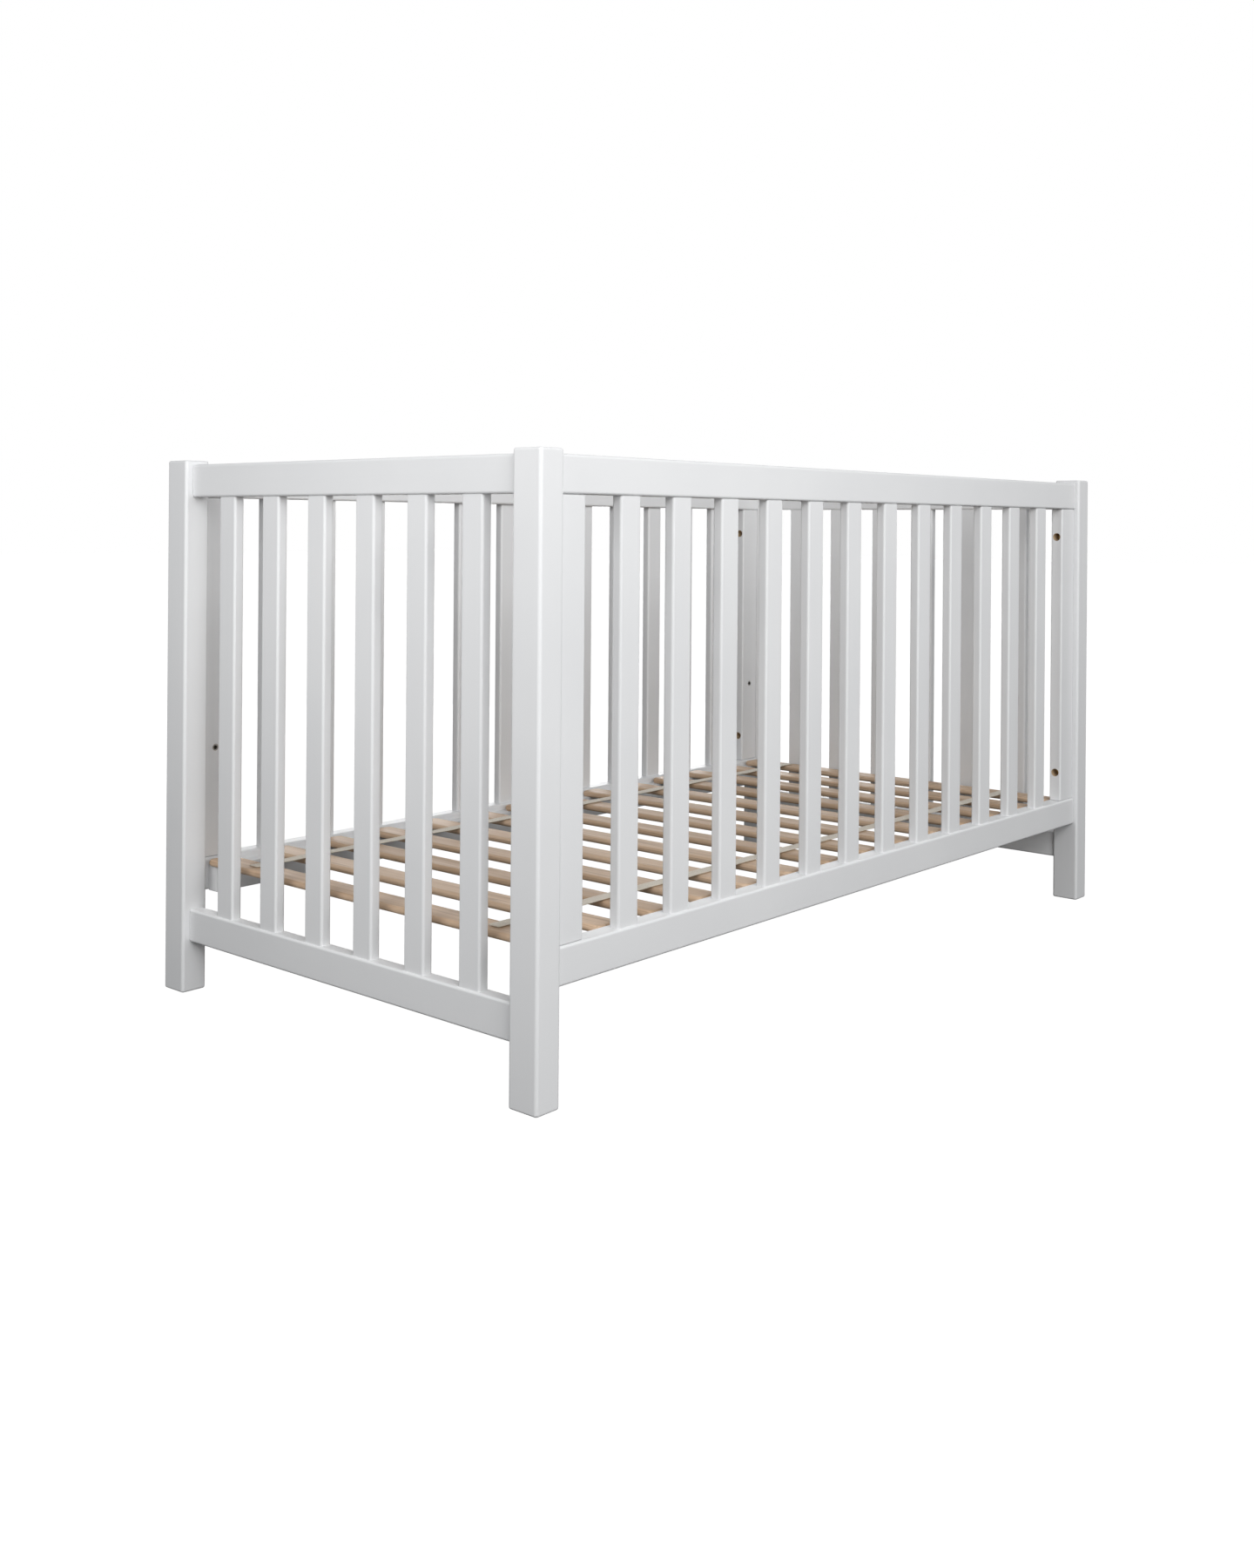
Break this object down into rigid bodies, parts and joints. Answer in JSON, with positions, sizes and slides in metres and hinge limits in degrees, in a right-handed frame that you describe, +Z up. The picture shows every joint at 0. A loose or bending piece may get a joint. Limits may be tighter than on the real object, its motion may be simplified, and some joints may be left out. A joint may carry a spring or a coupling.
{
  "type": "baby crib",
  "caption": "White wooden baby crib with square corner posts, barred sides and ends, and a wooden slat mattress base that bolts at two heights.",
  "frame": {"origin": "on the floor, at the middle of the four feet", "axes": "+X along the crib, towards its right end; +Y from the front side to the back side; +Z up"},
  "size_m": [1.476, 0.776, 0.784],
  "materials": {
    "white_paint": "smooth white satin lacquer on solid wood",
    "slat_wood": "bare planed hardwood, grain along the slat",
    "cream_webbing": "woven cream cotton tape",
    "brass_plate": "yellow plated socket bolt",
    "zinc_steel": "zinc plated steel"
  },
  "bodies": {
    "crib_frame": {"post_front_left": "white_paint", "front_left_stile": "white_paint", "post_front_right": "white_paint", "front_right_stile": "white_paint", "front_top_rail": "white_paint", "front_bottom_rail": "white_paint", "front_bar_01": "white_paint", "front_bar_02": "white_paint", "front_bar_03": "white_paint", "front_bar_04": "white_paint", "front_bar_05": "white_paint", "front_bar_06": "white_paint", "front_bar_07": "white_paint", "front_bar_08": "white_paint", "front_bar_09": "white_paint", "front_bar_10": "white_paint", "front_bar_11": "white_paint", "front_bar_12": "white_paint", "post_back_left": "white_paint", "back_left_stile": "white_paint", "post_back_right": "white_paint", "back_right_stile": "white_paint", "back_top_rail": "white_paint", "back_bottom_rail": "white_paint", "back_bar_01": "white_paint", "back_bar_02": "white_paint", "back_bar_03": "white_paint", "back_bar_04": "white_paint", "back_bar_05": "white_paint", "back_bar_06": "white_paint", "back_bar_07": "white_paint", "back_bar_08": "white_paint", "back_bar_09": "white_paint", "back_bar_10": "white_paint", "back_bar_11": "white_paint", "back_bar_12": "white_paint", "left_end_top_rail": "white_paint", "left_end_bottom_rail": "white_paint", "left_end_bar_1": "white_paint", "left_end_bar_2": "white_paint", "left_end_bar_3": "white_paint", "left_end_bar_4": "white_paint", "left_end_bar_5": "white_paint", "left_end_bar_6": "white_paint", "right_end_top_rail": "white_paint", "right_end_bottom_rail": "white_paint", "right_end_bar_1": "white_paint", "right_end_bar_2": "white_paint", "right_end_bar_3": "white_paint", "right_end_bar_4": "white_paint", "right_end_bar_5": "white_paint", "right_end_bar_6": "white_paint", "panel_bolts": "brass_plate", "panel_bolt_inserts": "zinc_steel", "base_height_inserts": "zinc_steel", "base_bolts": "brass_plate"},
    "slat_base": {"front_base_ledge": "white_paint", "back_base_ledge": "white_paint", "base_slats": "slat_wood", "slat_tapes": "cream_webbing"}
  },
  "joints": [
    {"name": "base_height", "type": "slide", "parent": "crib_frame", "child": "slat_base", "axis": [0, 0, 1], "range_m": [0, 0.195]}
  ]
}
